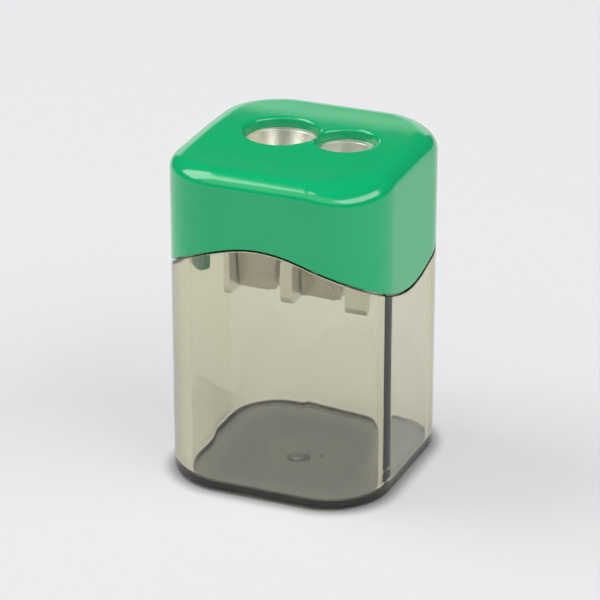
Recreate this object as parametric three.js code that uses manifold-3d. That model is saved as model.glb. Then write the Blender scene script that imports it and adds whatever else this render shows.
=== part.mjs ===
// Double-hole pencil sharpener with a shavings container.
// Millimetres, +Z up. The origin is the centre of the base, on the table.
// X runs along the front, from the large hole to the small one. Y runs from front to back.

import * as THREE from 'three';
import { mergeVertices } from 'three/addons/utils/BufferGeometryUtils.js';
import Module from 'manifold-3d';

const wasm = await Module();
wasm.setup();

// ---- driving dimensions ----

// The whole object: an upright box with round corners.
const WIDTH = 38;
const DEPTH = 39;
const HEIGHT = 56.5;
const CORNER_RADIUS = 11;
const BASE_EDGE = 1.2;
const TOP_EDGE_RADIUS = 3.4;

// The lid parts from the container along a wave: high at front and back, low at the sides.
const PARTING_MIDDLE = 38.8;
const PARTING_SWING = 5.3;
const PARTING_SOFTNESS = 4;
const PARTING_GAP = 0.5;

// Container, with a thin lip that stands inside the lid's skirt.
const CONTAINER_WALL = 2.85;
const CONTAINER_FLOOR = 0.9;
const LIP_INSET = 1.05;
const LIP_HEIGHT = 3;

// Lid.
const LID_WALL = 1.7;
const LID_TOP = 1.4;
const SKIRT_THICKNESS = 0.75;
const SKIRT_HEIGHT = 3.6;
const INNER_EDGE_RADIUS = 1.7;

// Pencil holes. The lid's openings are a little wider than the holes in the metal.
const LARGE = { x: -4.9, y: 1.7, holeRadius: 5.8, openingRadius: 6.2 };
const SMALL = { x: 6.5, y: 1.65, holeRadius: 4.25, openingRadius: 5.05 };
const OPENING_ROUNDING = 0.7;

// Metal wedge that carries the blades.
const METAL_TOP = 54.8;
const METAL_BOTTOM = 29.6;
const METAL_LEFT = -11.8;
const METAL_RIGHT = 13.2;
const METAL_FRONT = -5.2;
const METAL_BACK = 8.3;
const METAL_CORNER = { front: 1.5, back: 3.4, left: 1.9, right: 2 };
const METAL_SIDE_SLOPE = { left: 0.2, right: 1.3 };
const TIP_RADIUS = 0.9;
const CONE_TAPER = 0.2;
const AXIS_LEAN = 0.07;
const BACK_TAPER = 0.27;
const CHANNEL_TOP = 52.8;
const LARGE_CHANNEL = { left: -10.7, right: -1.7 };
const SMALL_CHANNEL = { left: 0.45, right: 9.3 };
const TIP_CHAMFER = { depth: 0.5, height: 1.2 };
const SHAVING_SLOT = { width: 2.9, depth: 2.4, top: 2 };

// Blades and their screws.
const BLADE_THICKNESS = 0.5;
const BLADE_WIDTH = 6.5;
const BLADE_NARROWING = 1.2;
const BLADE_BOTTOM = 30.1;
const BLADE_LENGTH = 22.3;
const BLADE_EDGE_BEVEL = 1.1;
const BLADE_SIDE_GAP = 0.15;
const SCREW_BESIDE_AXIS = 3.7;
const SCREW_HEIGHT = 38.8;
const SCREW_HEAD_RADIUS = 1.7;
const SCREW_HEAD_HEIGHT = 0.9;
const SCREW_SHANK_RADIUS = 0.75;
const SCREW_SHANK_LENGTH = 3;
const SCREW_SLOT = { width: 0.5, depth: 0.45, turn: 0.5 };
const SCREW_HOLE_DEPTH = 4;

// Holder under the lid's top that grips the metal wedge, and the two snap lugs.
const HOLDER_WALL = 1.2;
const HOLDER_DEPTH = 10;
const HOLDER_FRONT_DEPTH = 3.5;
const LUG = { width: 3.6, thickness: 1, reach: 2.3, turn: 28, height: 9, footHeight: 3.5 };

// Space kept between neighbouring pieces.
const CLEARANCE = 0.3;
const SEAT_GAP = 0.12;

// ---- small tools ----

const bladeLean = Math.atan(CONE_TAPER - AXIS_LEAN);

// Turns a closed geometry into a solid that can be cut and joined.
function solid(geometry) {
  const bare = geometry.clone();
  bare.deleteAttribute('normal');
  bare.deleteAttribute('uv');
  const merged = mergeVertices(bare, 1e-4);
  const index = merged.index.array;
  const kept = [];
  for (let i = 0; i < index.length; i += 3) {
    const [a, b, c] = [index[i], index[i + 1], index[i + 2]];
    if (a !== b && b !== c && c !== a) kept.push(a, b, c);
  }
  const vertProperties = Float32Array.from(merged.attributes.position.array);
  const triVerts = Uint32Array.from(kept);
  return new wasm.Manifold(new wasm.Mesh({ numProp: 3, vertProperties, triVerts }));
}

// Names a finished solid and gives it its material.
function piece(name, shape, material) {
  const mesh = shape.getMesh();
  const geometry = new THREE.BufferGeometry();
  geometry.setAttribute('position', new THREE.BufferAttribute(mesh.vertProperties, 3));
  geometry.setIndex(new THREE.BufferAttribute(mesh.triVerts, 1));
  geometry.computeVertexNormals();
  const result = new THREE.Mesh(geometry, material);
  result.name = name;
  return result;
}

// Box between two corners.
function block(low, high) {
  const size = high.map((value, i) => value - low[i]);
  const box = new THREE.BoxGeometry(...size);
  box.translate(...low.map((value, i) => value + size[i] / 2));
  return box;
}

// Plan of the object, drawn in by an inset all round.
function planShape(inset) {
  const x = WIDTH / 2 - CORNER_RADIUS;
  const y = DEPTH / 2 - CORNER_RADIUS;
  const radius = CORNER_RADIUS - inset;
  const shape = new THREE.Shape();
  shape.absarc(x, y, radius, 0, Math.PI / 2);
  shape.absarc(-x, y, radius, Math.PI / 2, Math.PI);
  shape.absarc(-x, -y, radius, Math.PI, Math.PI * 1.5);
  shape.absarc(x, -y, radius, Math.PI * 1.5, Math.PI * 2);
  shape.closePath();
  return shape;
}

// Upright prism on that plan, with both its ends rounded off by the same edge radius.
function prism(inset, bottom, top, edge = 0) {
  const geometry = new THREE.ExtrudeGeometry(planShape(inset), {
    depth: top - bottom - 2 * edge,
    bevelEnabled: edge > 0,
    bevelThickness: edge,
    bevelSize: edge,
    bevelOffset: -edge,
    bevelSegments: edge > 1 ? 6 : 1,
    curveSegments: 9,
  });
  geometry.translate(0, 0, bottom + edge);
  return geometry;
}

// Height of the parting wave over a point of the plan.
function partingHeight(x, y) {
  const wave = (y * y - x * x) / (x * x + y * y + PARTING_SOFTNESS ** 2);
  return PARTING_MIDDLE + PARTING_SWING * wave;
}

// Everything under the parting wave, raised or lowered by a lift.
function underParting(lift) {
  const side = 56;
  const box = new THREE.BoxGeometry(side, side, 2, 22, 22, 1);
  const points = box.attributes.position;
  for (let i = 0; i < points.count; i += 1) {
    const raised = partingHeight(points.getX(i), points.getY(i)) + lift;
    points.setZ(i, points.getZ(i) > 0 ? raised : -10);
  }
  return solid(box);
}

// Turned solid about the Z axis, from a profile of radius and height pairs.
function turned(profile, segments) {
  const points = profile.map(([radius, height]) => new THREE.Vector2(radius, height));
  const lathe = new THREE.LatheGeometry(points, segments);
  lathe.rotateX(Math.PI / 2);
  return lathe;
}

// ---- materials ----

const greenPlastic = new THREE.MeshStandardMaterial({ color: 0x2fae70, roughness: 0.35, metalness: 0 });
const smokyPlastic = new THREE.MeshStandardMaterial({
  color: 0xb8b8a6,
  roughness: 0.1,
  metalness: 0,
  transparent: true,
  opacity: 0.4,
});
const castMetal = new THREE.MeshStandardMaterial({ color: 0xc9c4b4, roughness: 0.35, metalness: 0.9 });
const bladeSteel = new THREE.MeshStandardMaterial({ color: 0x9d988c, roughness: 0.3, metalness: 1 });
const screwSteel = new THREE.MeshStandardMaterial({ color: 0xb9b9b6, roughness: 0.3, metalness: 1 });

// ---- container ----

function makeContainer() {
  const walls = solid(prism(0, 0, HEIGHT, BASE_EDGE)).intersect(underParting(-PARTING_GAP / 2));
  const lip = solid(prism(LIP_INSET, 1, HEIGHT)).intersect(underParting(LIP_HEIGHT - PARTING_GAP / 2));
  const hollow = solid(prism(CONTAINER_WALL, CONTAINER_FLOOR, HEIGHT + 5));
  return piece('container', walls.add(lip).subtract(hollow), smokyPlastic);
}

// ---- lid ----

// Opening over one pencil hole, with a rounded rim.
function lidOpening(hole) {
  const steps = 4;
  const profile = [[0, HEIGHT - 4], [hole.openingRadius, HEIGHT - 4]];
  for (let i = 0; i <= steps; i += 1) {
    const turn = (i / steps) * (Math.PI / 2);
    const out = hole.openingRadius + OPENING_ROUNDING * (1 - Math.cos(turn));
    profile.push([out, HEIGHT - OPENING_ROUNDING * (1 - Math.sin(turn))]);
  }
  profile.push([hole.openingRadius + OPENING_ROUNDING, HEIGHT + 2], [0, HEIGHT + 2]);
  const cutter = turned(profile, 40);
  cutter.translate(hole.x, hole.y, 0);
  return solid(cutter);
}

// Four-sided frame that hangs from the lid's top and grips the metal wedge.
function holder() {
  const top = HEIGHT - LID_TOP + 0.5;
  const bottom = HEIGHT - LID_TOP - HOLDER_DEPTH;
  const inner = [METAL_LEFT - CLEARANCE - 0.2, METAL_FRONT - CLEARANCE];
  const outer = [METAL_RIGHT + CLEARANCE + 0.1, METAL_BACK + CLEARANCE];
  const frame = block(
    [inner[0] - HOLDER_WALL, inner[1] - HOLDER_WALL, bottom],
    [outer[0] + HOLDER_WALL, outer[1] + HOLDER_WALL, top],
  );
  const pocket = block([inner[0], inner[1], bottom - 1], [outer[0], outer[1], HEIGHT - LID_TOP]);
  const window = block(
    [inner[0] + 1, inner[1] - 3, bottom - 1],
    [outer[0] - 1, inner[1] + 1, HEIGHT - LID_TOP - HOLDER_FRONT_DEPTH],
  );
  return solid(frame).subtract(solid(pocket)).subtract(solid(window));
}

// Tongue inside the lid that reaches down behind the container's lip. Its end is a half moon.
function lug(side) {
  const half = LUG.width / 2;
  const radius = CORNER_RADIUS - CONTAINER_WALL - LUG.thickness;
  const turn = THREE.MathUtils.degToRad(LUG.turn);
  const cornerX = CORNER_RADIUS - WIDTH / 2;
  const cornerY = CORNER_RADIUS - DEPTH / 2;
  const seam = partingHeight(cornerX - radius * Math.sin(turn), cornerY - radius * Math.cos(turn));
  const highestSeam = partingHeight(cornerX, cornerY - CORNER_RADIUS);
  const outline = new THREE.Shape();
  outline.moveTo(-half, 0);
  outline.absellipse(0, 0, half, LUG.reach / 2, Math.PI, Math.PI * 2);
  outline.lineTo(half, LUG.height);
  outline.lineTo(-half, LUG.height);
  outline.closePath();
  const tongue = new THREE.ExtrudeGeometry(outline, {
    depth: LUG.thickness,
    bevelEnabled: false,
    curveSegments: 8,
  });
  tongue.rotateX(Math.PI / 2);
  tongue.translate(0, LUG.thickness / 2, seam - LUG.reach / 2);
  const footBottom = highestSeam + LIP_HEIGHT + CLEARANCE;
  const footReach = CORNER_RADIUS - LID_WALL / 2 - radius;
  const foot = block(
    [-half, -footReach, footBottom],
    [half, LUG.thickness / 2, footBottom + LUG.footHeight],
  );
  const shape = solid(tongue).add(solid(foot));
  const place = new THREE.Matrix4().makeTranslation(0, -radius, 0);
  place.premultiply(new THREE.Matrix4().makeRotationZ(-turn));
  place.premultiply(new THREE.Matrix4().makeTranslation(cornerX, cornerY, 0));
  if (side === 'back') place.premultiply(new THREE.Matrix4().makeRotationZ(Math.PI));
  return shape.transform(place.toArray());
}

function makeLid() {
  const outside = solid(prism(0, 0, HEIGHT, TOP_EDGE_RADIUS)).subtract(underParting(PARTING_GAP / 2));
  const hollowBottom = -2 * INNER_EDGE_RADIUS;
  const hollow = solid(prism(LID_WALL, hollowBottom, HEIGHT - LID_TOP, INNER_EDGE_RADIUS));
  const rebate = solid(prism(SKIRT_THICKNESS, 0, HEIGHT)).intersect(underParting(SKIRT_HEIGHT));
  const shell = outside.subtract(hollow).subtract(rebate);
  const fitted = shell.add(holder()).add(lug('front')).add(lug('back'));
  const opened = fitted.subtract(lidOpening(LARGE)).subtract(lidOpening(SMALL));
  return piece('lid', opened, greenPlastic);
}

// ---- metal wedge ----

// Distance from the front of the bore line to the blade seat, at a height.
function seatY(z) {
  return LARGE.y - LARGE.holeRadius + (CONE_TAPER - AXIS_LEAN) * (METAL_TOP - z);
}

// Conical pencil hole. Its axis leans to the front on its way down.
function pencilHole(hole) {
  const tipDepth = (LARGE.holeRadius - TIP_RADIUS) / CONE_TAPER;
  const coneDepth = (LARGE.holeRadius - hole.holeRadius) / CONE_TAPER;
  const profile = [
    [0, -METAL_TOP],
    [TIP_RADIUS, -METAL_TOP],
    [TIP_RADIUS, -tipDepth],
    [hole.holeRadius, -coneDepth],
    [hole.holeRadius, 3],
    [0, 3],
  ];
  const cutter = turned(profile, 36);
  cutter.rotateX(-Math.atan(AXIS_LEAN));
  cutter.translate(hole.x, hole.y, METAL_TOP);
  return solid(cutter);
}

// Places a geometry drawn on a blade's plane: x across, z along the blade, -y out of the front.
function onSeat(geometry, z, lift) {
  geometry.rotateX(bladeLean);
  geometry.translate(0, seatY(z) - lift * Math.cos(bladeLean), z - lift * Math.sin(bladeLean));
  return geometry;
}

// Channel for a blade, open to the front and at the bottom, with a deeper slot for the shavings.
function bladeChannel(channel) {
  const length = CHANNEL_TOP - METAL_BOTTOM + 4;
  const seat = block([channel.left, -9, -length], [channel.right, 0, 0]);
  const slot = block(
    [channel.right - SHAVING_SLOT.width, -1, -length],
    [channel.right, SHAVING_SLOT.depth, -SHAVING_SLOT.top],
  );
  return solid(onSeat(seat, CHANNEL_TOP, 0)).add(solid(onSeat(slot, CHANNEL_TOP, 0)));
}

function screwX(hole) {
  return hole.x - SCREW_BESIDE_AXIS;
}

// Blind hole that a blade's screw turns into.
function screwHole(hole) {
  const radius = SCREW_SHANK_RADIUS + CLEARANCE;
  const cutter = turned([[0, -SCREW_HOLE_DEPTH], [radius, -SCREW_HOLE_DEPTH], [radius, 2], [0, 2]], 14);
  cutter.rotateX(Math.PI / 2);
  cutter.translate(screwX(hole), 0, 0);
  return solid(onSeat(cutter, SCREW_HEIGHT, 0));
}

function makeMetal() {
  const plan = new THREE.Shape([
    [METAL_LEFT, METAL_FRONT],
    [METAL_RIGHT, METAL_FRONT],
    [METAL_RIGHT, METAL_FRONT + METAL_CORNER.front],
    [METAL_RIGHT - METAL_SIDE_SLOPE.right, METAL_BACK - METAL_CORNER.back],
    [METAL_RIGHT - METAL_SIDE_SLOPE.right - METAL_CORNER.right, METAL_BACK],
    [METAL_LEFT + METAL_CORNER.left, METAL_BACK],
    [METAL_LEFT - METAL_SIDE_SLOPE.left, METAL_BACK - METAL_CORNER.back],
    [METAL_LEFT - METAL_SIDE_SLOPE.left, METAL_FRONT + METAL_CORNER.front],
  ].map(([x, y]) => new THREE.Vector2(x, y)));
  const height = METAL_TOP - METAL_BOTTOM;
  const body = new THREE.ExtrudeGeometry(plan, { depth: height, bevelEnabled: false });
  body.translate(0, 0, METAL_BOTTOM);

  const back = block([-20, 0, -60], [20, 20, 10]);
  back.rotateX(-Math.atan(BACK_TAPER));
  back.translate(0, METAL_BACK + 0.5, METAL_TOP);

  const chamfer = block([-20, -10, -10], [20, 0, 10]);
  chamfer.rotateX(Math.atan(TIP_CHAMFER.depth / TIP_CHAMFER.height));
  chamfer.translate(0, METAL_FRONT, METAL_BOTTOM + TIP_CHAMFER.height);

  let shape = solid(body).subtract(solid(back)).subtract(solid(chamfer));
  for (const [hole, channel] of [[LARGE, LARGE_CHANNEL], [SMALL, SMALL_CHANNEL]]) {
    shape = shape.subtract(pencilHole(hole)).subtract(bladeChannel(channel)).subtract(screwHole(hole));
  }
  return piece('sharpener_body', shape, castMetal);
}

// ---- blades ----

function makeBlade(name, channel, hole) {
  const left = channel.left + BLADE_SIDE_GAP;
  const right = left + BLADE_WIDTH;
  const outline = new THREE.Shape([
    new THREE.Vector2(left, 0),
    new THREE.Vector2(right, 0),
    new THREE.Vector2(right - BLADE_NARROWING, BLADE_LENGTH),
    new THREE.Vector2(left, BLADE_LENGTH),
  ]);
  const screwUp = (SCREW_HEIGHT - BLADE_BOTTOM) / Math.cos(bladeLean);
  const bore = new THREE.Path();
  bore.absarc(screwX(hole), screwUp, SCREW_SHANK_RADIUS + CLEARANCE, 0, Math.PI * 2, true);
  outline.holes.push(bore);
  const plate = new THREE.ExtrudeGeometry(outline, {
    depth: BLADE_THICKNESS,
    bevelEnabled: false,
    curveSegments: 7,
  });
  plate.rotateX(Math.PI / 2);

  // The cutting edge is ground from the front side.
  const grind = block([0, -2, -5], [3, 0, BLADE_LENGTH + 5]);
  grind.rotateZ(Math.atan(BLADE_THICKNESS / BLADE_EDGE_BEVEL));
  grind.rotateY(-Math.atan(BLADE_NARROWING / BLADE_LENGTH));
  grind.translate(right, -0.04, 0);

  const blade = solid(onSeat(plate, BLADE_BOTTOM, SEAT_GAP));
  return piece(name, blade.subtract(solid(onSeat(grind, BLADE_BOTTOM, SEAT_GAP))), bladeSteel);
}

// ---- screws ----

function makeScrew(name, hole) {
  const head = SCREW_HEAD_HEIGHT;
  const profile = [
    [0, -SCREW_SHANK_LENGTH],
    [SCREW_SHANK_RADIUS, -SCREW_SHANK_LENGTH],
    [SCREW_SHANK_RADIUS, 0],
    [SCREW_HEAD_RADIUS, 0],
    [SCREW_HEAD_RADIUS, head * 0.55],
    [SCREW_HEAD_RADIUS * 0.75, head],
    [0, head],
  ];
  const screw = turned(profile, 20);
  screw.rotateX(Math.PI / 2);
  const slot = block(
    [-SCREW_HEAD_RADIUS - 1, -head - 1, -SCREW_SLOT.width / 2],
    [SCREW_HEAD_RADIUS + 1, -head + SCREW_SLOT.depth, SCREW_SLOT.width / 2],
  );
  slot.rotateY(SCREW_SLOT.turn);
  const lift = BLADE_THICKNESS + 2 * SEAT_GAP;
  const parts = [screw, slot].map((geometry) => {
    geometry.translate(screwX(hole), 0, 0);
    return solid(onSeat(geometry, SCREW_HEIGHT, lift));
  });
  return piece(name, parts[0].subtract(parts[1]), screwSteel);
}

// ---- assembly ----

const sharpener = new THREE.Group();
sharpener.name = 'pencil_sharpener';

const lidGroup = new THREE.Group();
lidGroup.name = 'lid_assembly';
lidGroup.add(makeLid());
lidGroup.add(makeMetal());
lidGroup.add(makeBlade('large_blade', LARGE_CHANNEL, LARGE));
lidGroup.add(makeBlade('small_blade', SMALL_CHANNEL, SMALL));
lidGroup.add(makeScrew('large_blade_screw', LARGE));
lidGroup.add(makeScrew('small_blade_screw', SMALL));

sharpener.add(makeContainer());
sharpener.add(lidGroup);

export default sharpener;
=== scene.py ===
import math

import bmesh
import bpy
import numpy as np
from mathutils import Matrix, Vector


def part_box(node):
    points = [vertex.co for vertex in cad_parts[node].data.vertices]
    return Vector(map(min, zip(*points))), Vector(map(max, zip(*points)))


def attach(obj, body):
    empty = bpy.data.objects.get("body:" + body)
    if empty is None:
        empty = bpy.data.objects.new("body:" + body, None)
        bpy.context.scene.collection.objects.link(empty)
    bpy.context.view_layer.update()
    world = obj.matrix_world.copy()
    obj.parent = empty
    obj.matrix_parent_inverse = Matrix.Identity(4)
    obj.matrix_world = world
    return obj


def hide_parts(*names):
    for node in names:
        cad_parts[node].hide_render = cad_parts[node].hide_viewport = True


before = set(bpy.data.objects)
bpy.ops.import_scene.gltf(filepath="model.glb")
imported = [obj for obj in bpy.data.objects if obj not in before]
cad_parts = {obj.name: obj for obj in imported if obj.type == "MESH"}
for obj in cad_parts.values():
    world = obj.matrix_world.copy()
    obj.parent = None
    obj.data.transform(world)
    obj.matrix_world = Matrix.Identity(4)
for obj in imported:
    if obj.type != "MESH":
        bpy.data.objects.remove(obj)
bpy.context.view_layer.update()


# ---------------------------------------------------------------- shavings container
# A deep box of clear smoky polystyrene, moulded in one shot. Its top edge runs in a wave, and a
# thin lip stands up inside that edge for the lid to snap over. The floor is thin and flat.

MM = 0.001
container_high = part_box("container")[1]
half_width = container_high.x / MM
half_depth = container_high.y / MM
corner_radius = 11.0
columns_per_quarter = 130

parting_middle = 38.8
parting_swing = 5.3
parting_softness = 4.0
parting_gap = 0.24

wall = 2.85
floor_height = 0.9
lip_inset = 1.05
lip_height = 3.0


def quarter_walk(steps):
    """Points and outward directions of the plan from the middle of one side to the middle of the
    next: a straight, a quarter circle and a straight, walked by length."""
    straight_x = half_width - corner_radius
    straight_y = half_depth - corner_radius
    arc = corner_radius * math.pi / 2
    walked = (np.arange(steps) + 0.5) / steps * (straight_y + arc + straight_x)
    turn = np.clip((walked - straight_y) / corner_radius, 0, math.pi / 2)
    x = straight_x - np.maximum(0, walked - straight_y - arc) + corner_radius * np.cos(turn)
    y = np.minimum(walked, straight_y) + corner_radius * np.sin(turn)
    return x, y, np.cos(turn), np.sin(turn)


def whole_walk(steps):
    """The quarter walk mirrored into a closed loop, counter-clockwise seen from above."""
    x, y, out_x, out_y = quarter_walk(steps)
    loop_x = np.concatenate([x, -x[::-1], -x, x[::-1]])
    loop_y = np.concatenate([y, y[::-1], -y, -y[::-1]])
    loop_out_x = np.concatenate([out_x, -out_x[::-1], -out_x, out_x[::-1]])
    loop_out_y = np.concatenate([out_y, out_y[::-1], -out_y, -out_y[::-1]])
    return loop_x, loop_y, loop_out_x, loop_out_y


edge_x, edge_y, out_x, out_y = whole_walk(columns_per_quarter)


def parting(x, y):
    """Height of the wave where the lid meets the container: high at front and back, low at the
    sides, like the cosine of twice the angle round the plan."""
    wave = (y**2 - x**2) / (x**2 + y**2 + parting_softness**2)
    return parting_middle + parting_swing * wave


def loop(inset, height, on_wave=0.0):
    """One closed row of points: the plan drawn in by inset, at a fixed height, or on the parting
    wave plus height where on_wave is 1."""
    x = edge_x - inset * out_x
    y = edge_y - inset * out_y
    return np.stack([x, y, height + on_wave * parting(edge_x, edge_y)])


def straight(start, end, steps):
    """Rows evenly spaced from start to just before end."""
    share = np.arange(steps) / steps
    return [start + (end - start) * t for t in share]


def rounded(start, end, corner, steps):
    """Rows on a quarter ellipse from start to just before end, round a corner that they replace."""
    middle = start + end - corner
    turn = np.arange(steps) / steps * math.pi / 2
    return [middle + (start - middle) * math.cos(t) + (end - middle) * math.sin(t) for t in turn]


def skin(name, rows, closed_ring=False):
    """A closed surface through the rows. The first and last rows join up as a ring, or each end
    is closed by a fan to its middle point."""
    count = rows[0].shape[1]
    points = np.concatenate([row.T for row in rows]) * MM
    number = np.arange(len(rows) * count).reshape(len(rows), count)
    after = np.roll(number, -1, axis=1)
    lower, upper = (number, np.roll(number, -1, axis=0)) if closed_ring else (number[:-1], number[1:])
    lower_after = after if closed_ring else after[:-1]
    upper_after = np.roll(after, -1, axis=0) if closed_ring else after[1:]
    faces = np.stack([lower, lower_after, upper_after, upper], axis=-1).reshape(-1, 4).tolist()
    if not closed_ring:
        poles = np.stack([rows[0].mean(axis=1), rows[-1].mean(axis=1)]) * MM
        points = np.concatenate([points, poles])
        first_pole = len(rows) * count
        bottom = np.stack([after[0], number[0], np.full(count, first_pole)], axis=-1)
        top = np.stack([number[-1], after[-1], np.full(count, first_pole + 1)], axis=-1)
        faces += bottom.tolist() + top.tolist()
    mesh = bpy.data.meshes.new(name)
    mesh.from_pydata(points.tolist(), [], faces)
    mesh.polygons.foreach_set("use_smooth", np.ones(len(mesh.polygons), bool))
    mesh.update()
    piece = bpy.data.objects.new(name, mesh)
    bpy.context.scene.collection.objects.link(piece)
    return piece


def shrunk(row, share):
    """A row drawn towards its middle, for flat ends."""
    middle = row.mean(axis=1, keepdims=True)
    return middle + (row - middle) * share


def flat_end(row, steps):
    """Rows from near the middle out to just before the row."""
    return [shrunk(row, t) for t in (np.arange(steps) + 0.5) / steps]


base_edge = 1.2
shoulder_rounding = 0.25
lip_rounding = 0.3
floor_rounding = 0.7
support = 0.06
lip_top = lip_height - parting_gap / 2
shoulder = -parting_gap / 2

container_rows = flat_end(loop(base_edge + support, 0), 10)
container_rows += straight(loop(base_edge + support, 0), loop(base_edge, 0), 1)
container_rows += rounded(loop(base_edge, 0), loop(0, base_edge), loop(0, 0), 8)
container_rows += straight(loop(0, base_edge), loop(0, base_edge + support), 1)
wall_top = loop(0, shoulder - shoulder_rounding, 1)
container_rows += straight(loop(0, base_edge + support), wall_top, 40)
container_rows += rounded(
    wall_top, loop(shoulder_rounding, shoulder, 1), loop(0, shoulder, 1), 10)
container_rows += straight(
    loop(shoulder_rounding, shoulder, 1), loop(lip_inset - support, shoulder, 1), 2)
container_rows += rounded(
    loop(lip_inset - support, shoulder, 1), loop(lip_inset, shoulder + support, 1),
    loop(lip_inset, shoulder, 1), 3)
lip_outer_top = loop(lip_inset, lip_top - lip_rounding, 1)
container_rows += straight(loop(lip_inset, shoulder + support, 1), lip_outer_top, 6)
container_rows += rounded(
    lip_outer_top, loop(lip_inset + lip_rounding, lip_top, 1), loop(lip_inset, lip_top, 1), 5)
container_rows += straight(
    loop(lip_inset + lip_rounding, lip_top, 1), loop(wall - lip_rounding, lip_top, 1), 2)
lip_inner_top = loop(wall, lip_top - lip_rounding, 1)
container_rows += rounded(
    loop(wall - lip_rounding, lip_top, 1), lip_inner_top, loop(wall, lip_top, 1), 5)
wall_foot = loop(wall, floor_height + floor_rounding)
container_rows += straight(lip_inner_top, wall_foot, 44)
floor_edge = loop(wall + floor_rounding, floor_height)
container_rows += rounded(wall_foot, floor_edge, loop(wall, floor_height), 10)
container_rows += [floor_edge] + flat_end(floor_edge, 10)[::-1]

container = skin("shavings_container", container_rows)


def new_material(name):
    """A new node material with its node tree, its surface shader and its output."""
    material = bpy.data.materials.new(name)
    material.use_nodes = True
    tree = material.node_tree
    return material, tree, tree.nodes["Principled BSDF"], tree.nodes["Material Output"]


def noise(tree, scale, detail, stretch=(1, 1, 1)):
    """Cloudy noise that keeps its place on the piece, and is finer along a larger stretch."""
    place = tree.nodes.new("ShaderNodeTexCoord")
    mapping = tree.nodes.new("ShaderNodeMapping")
    mapping.inputs["Scale"].default_value = stretch
    texture = tree.nodes.new("ShaderNodeTexNoise")
    texture.inputs["Scale"].default_value = scale
    texture.inputs["Detail"].default_value = detail
    tree.links.new(place.outputs["Object"], mapping.inputs["Vector"])
    tree.links.new(mapping.outputs["Vector"], texture.inputs["Vector"])
    return texture.outputs["Fac"]


def ranged(tree, value, low, high, start=0.0, end=1.0, soft=False):
    """A value that goes from low to high while the input goes from start to end."""
    span = tree.nodes.new("ShaderNodeMapRange")
    span.interpolation_type = "SMOOTHSTEP" if soft else "LINEAR"
    span.inputs["From Min"].default_value = start
    span.inputs["From Max"].default_value = end
    span.inputs["To Min"].default_value = low
    span.inputs["To Max"].default_value = high
    tree.links.new(value, span.inputs["Value"])
    return span.outputs["Result"]


def tones(tree, value, dark, light, start=0.0, end=1.0):
    """A colour that goes from dark to light while the value goes from start to end."""
    ramp = tree.nodes.new("ShaderNodeValToRGB")
    ramp.color_ramp.elements[0].position = start
    ramp.color_ramp.elements[0].color = (*dark, 1)
    ramp.color_ramp.elements[1].position = end
    ramp.color_ramp.elements[1].color = (*light, 1)
    tree.links.new(value, ramp.inputs["Fac"])
    return ramp.outputs["Color"]


def relief(tree, height, strength, distance):
    """A fine relief that follows the height."""
    bump = tree.nodes.new("ShaderNodeBump")
    bump.inputs["Strength"].default_value = strength
    bump.inputs["Distance"].default_value = distance
    tree.links.new(height, bump.inputs["Height"])
    return bump


def total(tree, first, second):
    """The sum of two values."""
    both = tree.nodes.new("ShaderNodeMath")
    both.operation = "ADD"
    tree.links.new(first, both.inputs[0])
    tree.links.new(second, both.inputs[1])
    return both.outputs["Value"]


def surface(tree, shader, colour, roughness, bump):
    """Feeds the shader its colour, its roughness and its relief."""
    tree.links.new(colour, shader.inputs["Base Color"])
    tree.links.new(roughness, shader.inputs["Roughness"])
    tree.links.new(bump.outputs["Normal"], shader.inputs["Normal"])


gate_mark = (0.2, -2.8)
gate_mark_radius = 1.4
gate_mark_line = 0.3
pip = (3.3, -0.9)
pip_radius = 0.4
dull_patch = (2.0, 0.0)
dull_patch_inner = 6.0
dull_patch_outer = 8.5


def from_spot(tree, spot):
    """The distance from a spot on the floor."""
    place = tree.nodes.new("ShaderNodeTexCoord")
    apart = tree.nodes.new("ShaderNodeVectorMath")
    apart.operation = "DISTANCE"
    apart.inputs[1].default_value = (spot[0] * MM, spot[1] * MM, floor_height * MM)
    tree.links.new(place.outputs["Object"], apart.inputs[0])
    return apart.outputs["Value"]


def floor_ring(tree, spot, radius, line):
    """One on a ring round a spot on the floor, and zero elsewhere."""
    near = tree.nodes.new("ShaderNodeMath")
    near.operation = "COMPARE"
    near.inputs[1].default_value = radius * MM
    near.inputs[2].default_value = line * MM
    tree.links.new(from_spot(tree, spot), near.inputs[0])
    return near.outputs["Value"]


def smoky_clear_plastic():
    """Clear polystyrene with a little black and yellow dye, which darkens with the thickness that
    light goes through. It has faint flow marks and handling haze, and on its floor a round gate
    mark with a pip beside it and a dull patch."""
    material, tree, shader, output = new_material("smoky_clear_plastic")
    shader.inputs["Transmission Weight"].default_value = 1.0
    shader.inputs["IOR"].default_value = 1.59
    gate_ring = floor_ring(tree, gate_mark, gate_mark_radius, gate_mark_line)
    mark = total(tree, gate_ring, floor_ring(tree, pip, 0.0, pip_radius))
    stain = tones(tree, mark, (1, 1, 1), (0.42, 0.43, 0.38))
    haze = ranged(tree, noise(tree, 110, 4), 0.015, 0.07, 0.35, 0.75)
    dull = ranged(
        tree, from_spot(tree, dull_patch), 0.16, 0.0,
        dull_patch_inner * MM, dull_patch_outer * MM, soft=True)
    raised = relief(tree, mark, 0.8, 0.0002)
    waves = relief(tree, noise(tree, 190, 2, (1, 1, 0.12)), 0.05, 0.0004)
    tree.links.new(raised.outputs["Normal"], waves.inputs["Normal"])
    surface(tree, shader, stain, total(tree, haze, dull), waves)
    dye = tree.nodes.new("ShaderNodeVolumeAbsorption")
    dye.inputs["Color"].default_value = (0.47, 0.435, 0.0, 1)
    dye.inputs["Density"].default_value = 110
    tree.links.new(dye.outputs["Volume"], output.inputs["Volume"])
    return material


container.data.materials.append(smoky_clear_plastic())
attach(container, "container")
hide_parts("container")


# ---------------------------------------------------------------- lid
# Solid green polystyrene, moulded in one shot: a deep cap with softly rounded top edges. It has two
# round openings over the pencil holes, whose rounded rims run into each other above a thin web.

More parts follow.
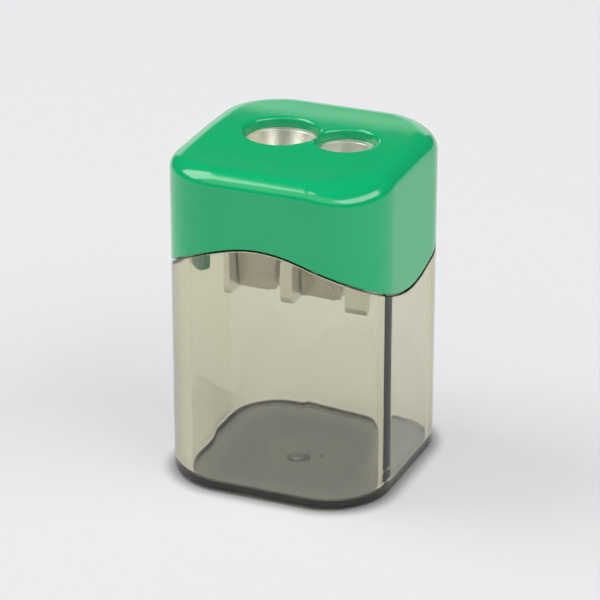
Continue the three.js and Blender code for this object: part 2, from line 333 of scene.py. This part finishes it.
lid_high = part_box("lid")[1]
top = lid_high.z / MM
lid_wall = 1.7
lid_thickness = 1.62
skirt = 0.75
skirt_height = 3.6
inner_rounding = 1.7
large_centre = np.array([-4.9, 1.7])
small_centre = np.array([6.5, 1.65])
large_opening = 6.2
small_opening = 5.05
rim_rounding = 0.7

bottom = parting_gap / 2
underside = top - lid_thickness
skirt_edge = 0.2
rebate = bottom + skirt_height
least_rounding = 2.9
corner_rounding = 1.1
least_blend = 3.5
corner_blend = 0.5
front_corner_blend = 2.2
right_from = -6
front_from = 4
corner_change = 20

front_fall = 0.5
front_fall_start = 5.0
front_fall_length = 18
back_fall = 0.25
back_fall_start = 6.0
back_fall_length = 13
fall_fade = 3


def smooth_step(value):
    """A soft step from 0 to 1."""
    value = np.clip(value, 0, 1)
    return value * value * (3 - 2 * value)


def circle(centre, radius, height, steps=256):
    """One level circle of points."""
    angle = np.arange(steps) / steps * 2 * math.pi
    return np.stack([
        centre[0] + radius * np.cos(angle), centre[1] + radius * np.sin(angle), np.full(steps, height)])


towards_right = smooth_step((edge_x - right_from) / corner_change)
towards_front = smooth_step((front_from - edge_y) / corner_change)
fuller = 2 * np.abs(out_x * out_y) * towards_right
top_rounding = least_rounding + corner_rounding * fuller
top_blend = least_blend + (corner_blend + front_corner_blend * towards_front) * fuller
inner_top = loop(lid_wall + inner_rounding, underside)
inner_side = loop(lid_wall, underside - inner_rounding)
lid_rows = flat_end(inner_top, 8)
lid_rows += rounded(inner_top, inner_side, loop(lid_wall, underside), 8)
lid_rows += straight(inner_side, loop(lid_wall, rebate + support, 1), 8)
lid_rows += straight(loop(lid_wall, rebate + support, 1), loop(lid_wall, rebate, 1), 1)
lid_rows += straight(loop(lid_wall, rebate, 1), loop(skirt, rebate, 1), 2)
lid_rows += straight(loop(skirt, rebate, 1), loop(skirt, rebate - support, 1), 1)
lid_rows += straight(loop(skirt, rebate - support, 1), loop(skirt, bottom + support, 1), 4)
lid_rows += straight(loop(skirt, bottom + support, 1), loop(skirt - support, bottom, 1), 1)
lid_rows += straight(loop(skirt - support, bottom, 1), loop(skirt_edge, bottom, 1), 1)
lid_rows += rounded(loop(skirt_edge, bottom, 1), loop(0, bottom + skirt_edge, 1), loop(0, bottom, 1), 5)
lid_rows += straight(loop(0, bottom + skirt_edge, 1), loop(0, top - top_rounding), 24)
top_edge = loop(top_blend, top)
lid_rows += rounded(loop(0, top - top_rounding), top_edge, loop(0, top), 30)
lid_rows += [top_edge] + flat_end(top_edge, 40)[::-1]


def crowned(row):
    """The row with the top falling away to the front and to the back, each like a smooth step
    that fades out below the top's edge."""
    x, y, height = row
    fall = front_fall * smooth_step((front_fall_start - y) / front_fall_length)
    fall = fall + back_fall * smooth_step((y - back_fall_start) / back_fall_length)
    fade = smooth_step((height - underside + fall_fade) / (top - underside + fall_fade))
    return np.stack([x, y, height - fall * fade])


lid = skin("green_lid", [crowned(row) for row in lid_rows])


def cut(piece, cutters):
    """Cuts every cutter out of the piece, and keeps only the result."""
    for cutter in cutters:
        modifier = piece.modifiers.new("cut", "BOOLEAN")
        modifier.operation = "DIFFERENCE"
        modifier.solver = "MANIFOLD"
        modifier.object = cutter
        finish_shape(piece)
        bpy.data.objects.remove(cutter)


def finish_shape(piece):
    """Makes the modifiers' result the piece's own mesh."""
    graph = bpy.context.evaluated_depsgraph_get()
    finished = bpy.data.meshes.new_from_object(piece.evaluated_get(graph))
    finished.materials.clear()
    finished.polygons.foreach_set("material_index", np.zeros(len(finished.polygons), np.int32))
    piece.modifiers.clear()
    piece.data = finished


def opening_cutter(centre, radius):
    """A cutter for one opening: upright, widening at the top over a quarter circle so that it
    leaves a rounded rim."""
    turn = np.linspace(0, math.pi / 2, 13)
    rows = [circle(centre, radius, underside - 1.0)]
    for t in turn:
        wider = radius + rim_rounding * (1 - math.cos(t))
        rows.append(circle(centre, wider, top - rim_rounding * (1 - math.sin(t))))
    rows += [circle(centre, radius + rim_rounding, top + 1.0)]
    return skin("opening", rows)


def smooth_by_angle(piece, degrees):
    """Smooth shading, with the edges sharper than an angle kept sharp."""
    mesh = piece.data
    mesh.polygons.foreach_set("use_smooth", np.ones(len(mesh.polygons), bool))
    mesh.set_sharp_from_angle(angle=math.radians(degrees))


cut(lid, [opening_cutter(large_centre, large_opening), opening_cutter(small_centre, small_opening)])
smooth_by_angle(lid, 40)


def green_plastic():
    """Solid green polystyrene off a polished mould: a clear gloss, with a very fine waviness and
    slight changes of colour and of polish, as handled plastic has."""
    material, tree, shader, _ = new_material("green_plastic")
    shader.inputs["IOR"].default_value = 1.55
    cloud = noise(tree, 70, 3)
    tint = tones(tree, cloud, (0.002, 0.41, 0.145), (0.003, 0.435, 0.157), 0.3, 0.7)
    waviness = relief(tree, noise(tree, 260, 2), 0.04, 0.0002)
    surface(tree, shader, tint, ranged(tree, cloud, 0.10, 0.15), waviness)
    return material


green = green_plastic()
lid.data.materials.append(green)
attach(lid, "lid")
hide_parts("lid")


# ---------------------------------------------------------------- holder and lugs inside the lid
# Moulded with the lid: a four-sided frame that grips the metal body, with a low front so that
# shavings drop freely, and two tongues in opposite corners that snap behind the container's lip.

metal_low, metal_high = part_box("sharpener_body")
metal_left, metal_front, metal_bottom = metal_low / MM
metal_right, metal_back, metal_top = metal_high / MM
holder_wall = 1.2
holder_gap = 0.3
holder_depth = 10.0
holder_front_depth = 3.5
holder_corner = 0.4
holder_overlap = 0.3
window_margin = 1.0
edge = 0.15


def outline(corners, radius, spacing=0.15):
    """A closed outline with round corners, and its outward directions: each corner's turn is an
    arc of the radius, and each side is a straight between two arcs, all evenly sampled."""
    corners = np.array(corners, float)
    before = corners - np.roll(corners, 1, axis=0)
    before /= np.linalg.norm(before, axis=1)[:, None]
    after = np.roll(before, -1, axis=0)
    cross = before[:, 0] * after[:, 1] - before[:, 1] * after[:, 0]
    turn = np.arctan2(cross, (before * after).sum(axis=1))
    start = np.arctan2(before[:, 1], before[:, 0]) - math.pi / 2
    back = radius * np.tan(turn / 2)
    inward = np.stack([-before[:, 1], before[:, 0]], axis=1)
    centres = corners - back[:, None] * before + radius * inward
    steps = max(4, round(radius * math.pi / 2 / spacing))
    share = np.linspace(0, 1, steps + 1)
    angle = start[:, None] + turn[:, None] * share
    arcs = centres[:, None] + radius * np.stack([np.cos(angle), np.sin(angle)], axis=-1)
    points, angles = [], []
    for here, there, bend in zip(arcs, np.roll(arcs, -1, axis=0), angle):
        length = np.linalg.norm(there[0] - here[-1])
        parts = max(1, round(length / spacing))
        between = np.arange(1, parts) / parts
        points += [here, here[-1] + (there[0] - here[-1]) * between[:, None]]
        angles += [bend, np.full(len(between), bend[-1])]
    points, angles = np.concatenate(points), np.concatenate(angles)
    return points.T, np.stack([np.cos(angles), np.sin(angles)])


def ring(path, inset, height):
    """One row on an outline drawn in by inset, at a height, which may change along the row."""
    points, out = path
    flat = points - inset * out
    return np.stack([*flat, np.broadcast_to(height, flat[0].shape)])


def join(pieces, material, body, slot, *nodes):
    """Colours the pieces and hangs them on their body, in place of the CAD nodes."""
    for piece in pieces:
        piece.data.materials.append(material)
        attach(piece, body)
        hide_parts(*nodes)


holder_inner = outline([
    (metal_left - holder_gap, metal_front - holder_gap),
    (metal_right + holder_gap, metal_front - holder_gap),
    (metal_right + holder_gap, metal_back + holder_gap),
    (metal_left - holder_gap, metal_back + holder_gap)], holder_corner)
middle_x = (metal_left + metal_right) / 2
half_window = (metal_right - metal_left) / 2 - window_margin
at_front = smooth_step((metal_front + 1.5 - holder_inner[0][1]) / 1.0)
in_window = smooth_step((half_window - np.abs(holder_inner[0][0] - middle_x)) / 0.8) * at_front
holder_top = underside + holder_overlap
holder_bottom = underside - holder_depth + (holder_depth - holder_front_depth) * in_window
holder_rows = straight(
    ring(holder_inner, 0, holder_top), ring(holder_inner, 0, holder_bottom + edge), 24)
holder_rows += rounded(
    ring(holder_inner, 0, holder_bottom + edge), ring(holder_inner, -edge, holder_bottom),
    ring(holder_inner, 0, holder_bottom), 3)
holder_rows += straight(
    ring(holder_inner, -edge, holder_bottom),
    ring(holder_inner, edge - holder_wall, holder_bottom), 3)
holder_rows += rounded(
    ring(holder_inner, edge - holder_wall, holder_bottom),
    ring(holder_inner, -holder_wall, holder_bottom + edge),
    ring(holder_inner, -holder_wall, holder_bottom), 3)
holder_rows += straight(
    ring(holder_inner, -holder_wall, holder_bottom + edge),
    ring(holder_inner, -holder_wall, holder_top), 24)
holder_rows += straight(
    ring(holder_inner, -holder_wall, holder_top), ring(holder_inner, 0, holder_top), 3)
holder = skin("metal_holder", holder_rows, closed_ring=True)

lug_width = 3.6
lug_thickness = 1.0
lug_reach = 2.3
lug_turn = math.radians(28)
lug_height = 9.0
lug_edge = 0.2
lug_corner = 0.12
lug_radius = corner_radius - wall - lug_thickness
corner_x = half_width - corner_radius
corner_y = half_depth - corner_radius


def tablet(path, bottom, top, edge, steps=3):
    """Rows of a tablet on an outline: a flat bottom, a round lower edge, the side, a round upper
    edge and a flat top."""
    rows = flat_end(ring(path, edge, bottom), steps)
    rows += rounded(ring(path, edge, bottom), ring(path, 0, bottom + edge), ring(path, 0, bottom), 4)
    rows += straight(ring(path, 0, bottom + edge), ring(path, 0, top - edge), max(1, steps))
    rows += rounded(ring(path, 0, top - edge), ring(path, edge, top), ring(path, 0, top), 4)
    return rows + [ring(path, edge, top)] + flat_end(ring(path, edge, top), steps)[::-1]


def tongue_rows(turn):
    """Rows of one lug: a tablet on an outline that ends below in a half moon, stood upright in the
    front left corner, or in the back right one where turn is -1."""
    x = -corner_x - lug_radius * math.sin(lug_turn)
    y = -corner_y - lug_radius * math.cos(lug_turn)
    seam = float(parting(np.array(x), np.array(y)))
    half = lug_width / 2
    round_end = np.linspace(math.pi, 2 * math.pi, 13)[1:-1]
    corners = [(-half, lug_height), (-half, 0)]
    corners += [(half * math.cos(t), lug_reach / 2 * math.sin(t)) for t in round_end]
    corners += [(half, 0), (half, lug_height)]
    path = outline(corners, lug_corner, lug_corner)
    rows = tablet(path, -lug_thickness / 2, lug_thickness / 2, lug_edge)
    placed = []
    for across, up, out in rows:
        local_y = -lug_radius - out
        local_z = up + seam - lug_reach / 2
        world_x = across * math.cos(lug_turn) + local_y * math.sin(lug_turn) - corner_x
        world_y = -across * math.sin(lug_turn) + local_y * math.cos(lug_turn) - corner_y
        placed.append(np.stack([turn * world_x, turn * world_y, local_z]))
    return placed


lugs = [skin("front_snap_lug", tongue_rows(1)), skin("back_snap_lug", tongue_rows(-1))]
join([holder, *lugs], green, "lid", "green_plastic", "lid")


# ---------------------------------------------------------------- metal body
# A cast and machined magnesium wedge with two conical bores. Two blade channels run down its front
# and leave three legs at its lower end. The outside is satin, with slightly worn edges.

large_hole = 5.8
small_hole = 4.25
cone_taper = 0.2
axis_lean = 0.07
tip_radius = 0.9
back_taper = 0.27
back_taper_start = 0.5
tip_chamfer_depth = 0.5
tip_chamfer_height = 1.2
bore_mouth_round = 0.06
body_edge = 0.22
channel_top = 52.8
large_channel = (-10.7, -1.7)
small_channel = (0.45, 9.3)
blade_lean = math.atan(cone_taper - axis_lean)
screw_height = 38.8
screw_beside_axis = 3.7
screw_hole = 1.05

seat_cut_reach = 9
chip_slot_width = 2.9
chip_slot_depth = 2.4
chip_slot_start = 2
chip_slot_round = 0.3
cut_past_end = 4
cut_clear = 0.017


def seat_y(z):
    """How far back the blades' seat lies at a height."""
    return large_centre[1] - large_hole + (cone_taper - axis_lean) * (metal_top - z)


def on_seat(rows, z, lift=0.0):
    """Rows drawn on a blade's plane, x across, z along the blade and -y out of it, tilted to the
    seat's lean and moved to the height z and off the seat by lift."""
    tilted = []
    upright, sideways = math.cos(blade_lean), math.sin(blade_lean)
    for x, y, up in rows:
        tilted.append(np.stack([
            x,
            (y - lift) * upright - up * sideways + seat_y(z),
            (y - lift) * sideways + up * upright + z]))
    return tilted


def bore_rows(centre, radius):
    """A cutter for one conical bore: circles whose radius shrinks evenly down to the tip, on an
    axis that leans to the front, with a small round at the mouth."""
    angle = np.arange(192) / 192 * 2 * math.pi
    mouth = bore_mouth_round
    start = (large_hole - radius) / cone_taper
    tip = (large_hole - tip_radius) / cone_taper
    bend = np.linspace(0, math.pi / 2, 5)
    profile = [(radius + mouth, 2.0)]
    profile += [(radius + mouth * (1 - math.sin(t)), -mouth * (1 - math.cos(t))) for t in bend]
    profile += [(radius, -start - mouth - 0.01), (tip_radius, -tip - 0.01), (tip_radius, -32.0)]
    lean = math.atan(axis_lean)
    rows = []
    for r, h in profile[::-1]:
        x, y = r * np.cos(angle), r * np.sin(angle)
        rows.append(np.stack([
            x + centre[0],
            y * math.cos(lean) + h * math.sin(lean) + centre[1],
            h * math.cos(lean) - y * math.sin(lean) + metal_top]))
    return rows


def block_rows(left, right, front, back, bottom, top, rounding=0.05):
    """A brick as a tablet on a rectangle."""
    path = outline([(left, front), (right, front), (right, back), (left, back)], rounding, 0.6)
    return tablet(path, bottom, top, rounding, 1)


side_start = metal_front + 1.5
side_end = metal_back - 3.4
left_front_cut = 0.2
left_back_cut = 2.1
right_side_taper = 1.3
right_back_cut = 3.3
plan_round = 0.25
plan_spacing = 0.3
plan = outline([
    (metal_left + left_front_cut, metal_front), (metal_right, metal_front),
    (metal_right, side_start), (metal_right - right_side_taper, side_end),
    (metal_right - right_back_cut, metal_back), (metal_left + left_back_cut, metal_back),
    (metal_left, side_end), (metal_left, side_start)], plan_round, plan_spacing)


def wedge_row(inset, z):
    """The wedge's plan at a height, with its back cut off by the taper and its front by the
    chamfer of the legs' tips."""
    x, y, height = ring(plan, inset, z)
    back_limit = metal_back + back_taper_start - back_taper * (metal_top - z)
    into_tip = max(0, 1 - (z - metal_bottom) / tip_chamfer_height)
    front_limit = metal_front + tip_chamfer_depth * into_tip
    return np.stack([x, np.clip(y, front_limit + inset, back_limit - inset), height])


wedge_rows = flat_end(wedge_row(body_edge, metal_bottom), 2)
wedge_rows += [wedge_row(body_edge * (1 - math.sin(t)), metal_bottom + body_edge * (1 - math.cos(t)))
               for t in np.linspace(0, math.pi / 2, 4)]
tip_top = metal_bottom + tip_chamfer_height
wedge_rows += [wedge_row(0, z) for z in np.linspace(metal_bottom + body_edge, tip_top, 5)[1:]]
wedge_rows += [wedge_row(0, z) for z in np.linspace(tip_top, metal_top - body_edge, 20)[1:]]
wedge_rows += [wedge_row(body_edge * (1 - math.cos(t)), metal_top - body_edge * (1 - math.sin(t)))
               for t in np.linspace(0, math.pi / 2, 4)[1:]]
wedge_rows += flat_end(wedge_row(body_edge, metal_top), 2)[::-1]
metal_body = skin("metal_body", wedge_rows)
merge_distance = 0.001 * MM
merge = bmesh.new()
merge.from_mesh(metal_body.data)
bmesh.ops.remove_doubles(merge, verts=merge.verts, dist=merge_distance)
bmesh.ops.dissolve_degenerate(merge, edges=merge.edges, dist=merge_distance)
merge.to_mesh(metal_body.data)
merge.free()

channel_length = channel_top - metal_bottom + cut_past_end
cutters = [skin("bore", bore_rows(large_centre, large_hole))]
cutters += [skin("bore", bore_rows(small_centre, small_hole))]

# The second channel's cuts are a hair larger, so that no two cuts share a plane.
for (left, right), off in ((large_channel, 0.0), (small_channel, cut_clear)):
    seat = block_rows(left, right, -seat_cut_reach - off, off, -channel_length - off, off)
    slot = block_rows(
        right - chip_slot_width, right + 0.01, -1 - off, chip_slot_depth + off,
        -channel_length - 1, -chip_slot_start - off, chip_slot_round)
    cutters += [skin("seat", on_seat(seat, channel_top)), skin("slot", on_seat(slot, channel_top))]
cut(metal_body, cutters)
wear = 0.12
worn_edges = metal_body.modifiers.new("worn_edges", "BEVEL")
worn_edges.width = wear * MM
worn_edges.segments = 2
worn_edges.limit_method = "ANGLE"
worn_edges.angle_limit = math.radians(35)
worn_edges.use_clamp_overlap = True
finish_shape(metal_body)
smooth_by_angle(metal_body, 32)


def turned_magnesium():
    """Satin magnesium with fine level tool marks, which spread a highlight up and down, and
    cloudy changes of tone and of polish."""
    material, tree, shader, _ = new_material("turned_magnesium")
    shader.inputs["Metallic"].default_value = 0.88
    cloud = noise(tree, 420, 4)
    tone = tones(tree, cloud, (0.88, 0.85, 0.77), (0.97, 0.95, 0.89), 0.25, 0.75)
    tool_marks = relief(tree, noise(tree, 1.0, 3, (60, 60, 9000)), 0.15, 0.00002)
    surface(tree, shader, tone, ranged(tree, cloud, 0.26, 0.40), tool_marks)
    return material


join([metal_body], turned_magnesium(), "lid", "cast_metal", "sharpener_body")


# ---------------------------------------------------------------- blades
# Two blades of hardened carbon steel lie in the channels, one for each bore. Each is a flat
# tapered plate, drilled for its screw, with a cutting edge ground from the front.

blade_width = 6.5
blade_length = 22.3
blade_bottom = 30.1
blade_thickness = 0.5
blade_narrowing = 1.2
edge_bevel = 1.1
blade_side_gap = 0.15
seat_gap = 0.12
cutting_edge = 0.04
soft_corner = 0.06


def blade_rows(left):
    """Sections across the blade, stacked along it: a flat back, a square heel and a front that
    falls to the cutting edge over the ground bevel. The width shrinks evenly towards the top."""
    soft = soft_corner
    rows = []
    ends = [(0.0, soft), (soft * 0.3, soft * 0.3), (soft, 0.0)]
    stations = ends + [(t, 0.0) for t in np.linspace(0.3, blade_length - 0.3, 24)]
    stations += [(blade_length - t, inset) for t, inset in ends[::-1]]
    for along, inset in stations:
        right = left + blade_width - blade_narrowing * along / blade_length
        back, front = -inset * 0.9, -blade_thickness + inset * 0.9
        section = [
            (left + soft + inset, back), (right - inset, back), (right - inset, back - cutting_edge),
            (right - edge_bevel - inset, front), (left + soft + inset, front),
            (left + inset, front + soft), (left + inset, back - soft)]
        x, y = np.array(section[::-1]).T
        dense = np.linspace(0, len(section), 8 * len(section), endpoint=False)
        corner_number = np.arange(len(section) + 1)
        rows.append(np.stack([
            np.interp(dense, corner_number, np.append(x, x[0])),
            np.interp(dense, corner_number, np.append(y, y[0])),
            np.full(len(dense), along)]))
    return rows


def blade(name, channel, centre):
    """One blade on its seat, drilled for the screw."""
    rows = on_seat(blade_rows(channel[0] + blade_side_gap), blade_bottom, seat_gap)
    piece = skin(name, flat_end(rows[0], 2) + rows + flat_end(rows[-1], 2)[::-1])
    angle = np.arange(48) / 48 * 2 * math.pi
    drill = [np.stack([
        screw_hole * np.cos(angle) + centre[0] - screw_beside_axis, np.full(48, depth),
        screw_hole * np.sin(angle)]) for depth in (1.0, -2.0)]
    cut(piece, [skin("drill", on_seat(drill, screw_height))])
    smooth_by_angle(piece, 25)
    return piece


def blade_steel():
    """Ground carbon steel: fine scratches along the blade, a darker temper and oil film."""
    material, tree, shader, _ = new_material("ground_blade_steel")
    shader.inputs["Metallic"].default_value = 1.0
    film = noise(tree, 260, 4)
    tone = tones(tree, film, (0.46, 0.43, 0.37), (0.62, 0.59, 0.52), 0.3, 0.75)
    scratches = relief(tree, noise(tree, 1.0, 3, (9000, 2000, 120)), 0.25, 0.00002)
    surface(tree, shader, tone, ranged(tree, film, 0.22, 0.36), scratches)
    return material


steel = blade_steel()
large_blade = blade("large_hole_blade", large_channel, large_centre)
small_blade = blade("small_hole_blade", small_channel, small_centre)
join([large_blade], steel, "lid", "blade_steel", "large_blade")
join([small_blade], steel, "lid", "blade_steel", "small_blade")


# ---------------------------------------------------------------- blade screws
# Small zinc-plated steel screws with a low domed head and a straight slot. Each goes through the
# hole in its blade into the metal body, and holds the blade down on its seat.

screw_head = 1.7
screw_head_height = 0.9
screw_shank = 0.75
screw_shank_length = 3.0
slot_width = 0.5
slot_depth = 0.45
large_slot_turn = 0.5
small_slot_turn = -0.8
thread_pitch = 0.4
thread_ripple = 0.06
thread_root = 0.07
head_edge = 0.08
head_side = 0.42
dome_foot = 0.46


def screw(name, centre, turn):
    """A turned screw: the head's side and its domed top, a cut across it, and a shank whose
    radius ripples with the thread."""
    angle = np.arange(96) / 96 * 2 * math.pi
    dome = np.linspace(0, math.pi / 2, 9)[:-1]
    profile = [(screw_shank * 0.5, screw_shank_length)]
    along = np.linspace(screw_shank_length - 0.3, 0.15, 44)
    for height in along:
        ripple = thread_ripple * math.cos(2 * math.pi * height / thread_pitch)
        profile.append((screw_shank - thread_root + ripple, height))
    profile += [
        (screw_shank, 0.0), (screw_head - head_edge, 0.0), (screw_head, -head_edge),
        (screw_head, -head_side)]
    for t in dome:
        rise = (screw_head_height - dome_foot) * math.sin(t)
        profile.append((screw_head * math.cos(t) ** 0.5, -dome_foot - rise))
    rows = [np.stack([
        r * np.cos(angle) + centre[0] - screw_beside_axis, np.full(96, y), -r * np.sin(angle)])
        for r, y in profile]
    lift = blade_thickness + 2 * seat_gap
    piece = skin(name, on_seat(rows, screw_height, lift)[::-1])
    slot = block_rows(
        -3, 3, -2, slot_depth - screw_head_height, -slot_width / 2, slot_width / 2, 0.03)
    along_x, along_z = math.cos(turn), math.sin(turn)
    turned_slot = [np.stack([
        x * along_x + z * along_z + centre[0] - screw_beside_axis, y, z * along_x - x * along_z])
        for x, y, z in slot]
    cut(piece, [skin("slot", on_seat(turned_slot, screw_height, lift))])
    smooth_by_angle(piece, 35)
    return piece


def zinc():
    """Bright zinc plating with a light mottle."""
    material, tree, shader, _ = new_material("zinc_plating")
    shader.inputs["Metallic"].default_value = 1.0
    mottle = noise(tree, 1800, 3)
    tone = tones(tree, mottle, (0.50, 0.50, 0.48), (0.78, 0.77, 0.74))
    tree.links.new(tone, shader.inputs["Base Color"])
    tree.links.new(ranged(tree, mottle, 0.2, 0.38), shader.inputs["Roughness"])
    return material


plating = zinc()
large_screw = screw("large_hole_screw", large_centre, large_slot_turn)
small_screw = screw("small_hole_screw", small_centre, small_slot_turn)
join([large_screw], plating, "lid", "screw_steel", "large_blade_screw")
join([small_screw], plating, "lid", "screw_steel", "small_blade_screw")


# ---------------------------------------------------------------- studio
# A pale table in a dim room. The table glows a little and evenly away from the object. Under the object
# the glow is cut down into a painted shadow, darkest in a narrow ring under its edge. Soft boxes light
# the object from the left, the right, the front, behind and high up.

table_half = 4.0
table_level = -0.00005
table_mesh = bpy.data.meshes.new("studio_table")
table_mesh.from_pydata(
    [(-table_half, -table_half, table_level), (table_half, -table_half, table_level),
     (table_half, table_half, table_level), (-table_half, table_half, table_level)], [], [(0, 1, 2, 3)])
table = bpy.data.objects.new("studio_table", table_mesh)
bpy.context.scene.collection.objects.link(table)
table_material, table_tree, table_shader, _ = new_material("pale_table")
table_nodes = table_tree.nodes
table_links = table_tree.links
table_shader.inputs["Base Color"].default_value = (0.33, 0.332, 0.338, 1)
table_shader.inputs["Roughness"].default_value = 1.0
table_shader.inputs["Specular IOR Level"].default_value = 0.0
table_shader.inputs["Emission Color"].default_value = (1.0, 1.005, 1.02, 1)
table_place = table_nodes.new("ShaderNodeTexCoord")
table_quarter = table_nodes.new("ShaderNodeVectorMath")
table_quarter.operation = "ABSOLUTE"
table_past = table_nodes.new("ShaderNodeVectorMath")
table_past.operation = "SUBTRACT"
table_past.inputs[1].default_value = (corner_x * MM, corner_y * MM, 0)
table_outside = table_nodes.new("ShaderNodeVectorMath")
table_outside.operation = "MAXIMUM"
table_outside.inputs[1].default_value = (0, 0, 0)
table_distance = table_nodes.new("ShaderNodeVectorMath")
table_distance.operation = "LENGTH"
# How far out from the object the painted shadow in the table's glow reaches.
painted_shadow_reach = 0.02
table_span = table_nodes.new("ShaderNodeMapRange")
table_span.inputs["From Max"].default_value = painted_shadow_reach
# The ramp paints shadow into the table's glow: dimmer under the object, dimmest in a ring under its
# edge, full beyond.
table_glow_and_painted_shadow = table_nodes.new("ShaderNodeValToRGB")
table_glow_and_painted_shadow.color_ramp.interpolation = "EASE"
table_glow_and_painted_shadow.color_ramp.elements[0].position = 0.1
table_glow_and_painted_shadow.color_ramp.elements[0].color = (0.15, 0.15, 0.15, 1)
table_glow_and_painted_shadow.color_ramp.elements[1].position = 0.68
table_glow_and_painted_shadow.color_ramp.elements[1].color = (0.452, 0.452, 0.452, 1)
for position, glow in ((0.30, 0.19), (0.43, 0.045), (0.52, 0.045)):
    table_glow_and_painted_shadow.color_ramp.elements.new(position).color = (glow, glow, glow, 1)
table_links.new(table_place.outputs["Object"], table_quarter.inputs[0])
table_links.new(table_quarter.outputs["Vector"], table_past.inputs[0])
table_links.new(table_past.outputs["Vector"], table_outside.inputs[0])
table_links.new(table_outside.outputs["Vector"], table_distance.inputs[0])
table_links.new(table_distance.outputs["Value"], table_span.inputs["Value"])
table_links.new(table_span.outputs["Result"], table_glow_and_painted_shadow.inputs["Fac"])
table_links.new(table_glow_and_painted_shadow.outputs["Color"], table_shader.inputs["Emission Strength"])
table_mesh.materials.append(table_material)

world = bpy.data.worlds.new("studio")
bpy.context.scene.world = world
world.use_nodes = True
world.node_tree.nodes["Background"].inputs["Color"].default_value = (1, 1, 1, 1)
world.node_tree.nodes["Background"].inputs["Strength"].default_value = 0.06


def soft_box(name, azimuth_deg, elevation_deg, distance, size, brightness):
    """A large soft box aimed at the object's middle. Its power follows from how bright its face
    looks: brightness times pi times its area."""
    lamp = bpy.data.lights.new(name, "AREA")
    lamp.shape = "RECTANGLE"
    lamp.size, lamp.size_y = size
    lamp.energy = brightness * math.pi * size[0] * size[1]
    turn, rise = math.radians(azimuth_deg), math.radians(elevation_deg)
    aim = Vector((0, 0, 0.03))
    towards_box = Vector((
        math.sin(turn) * math.cos(rise), -math.cos(turn) * math.cos(rise), math.sin(rise)))
    box = bpy.data.objects.new(name, lamp)
    bpy.context.scene.collection.objects.link(box)
    box.location = aim + towards_box * distance
    box.rotation_euler = towards_box.to_track_quat("Z", "Y").to_euler()


soft_box("left_box", -78, 47, distance=2.4, size=(1.5, 1.75), brightness=5.0)
soft_box("right_box", 80, 45, distance=2.4, size=(2.3, 1.1), brightness=4.9)
soft_box("front_fill", 0, 50, distance=2.6, size=(4.0, 1.8), brightness=1.05)
soft_box("back_glow", -157, 9, distance=2.4, size=(1.9, 0.75), brightness=1.05)
soft_box("high_box", -12, 74, distance=2.4, size=(0.32, 0.45), brightness=5.0)

azimuth = math.radians(22.956)
elevation = math.radians(23.473)
distance = 0.5
target = Vector((-0.000868, 0, 0.02776))
towards = Vector((
    math.sin(azimuth) * math.cos(elevation),
    -math.cos(azimuth) * math.cos(elevation),
    math.sin(elevation)))
camera = bpy.data.objects.new("camera", bpy.data.cameras.new("camera"))
camera.data.lens = 181.6
camera.data.sensor_width = 36
camera.data.clip_start = 0.01
camera.location = target + towards * distance
camera.rotation_euler = towards.to_track_quat("Z", "Y").to_euler()
bpy.context.scene.collection.objects.link(camera)
bpy.context.scene.camera = camera
bpy.context.scene.view_settings.view_transform = "Standard"
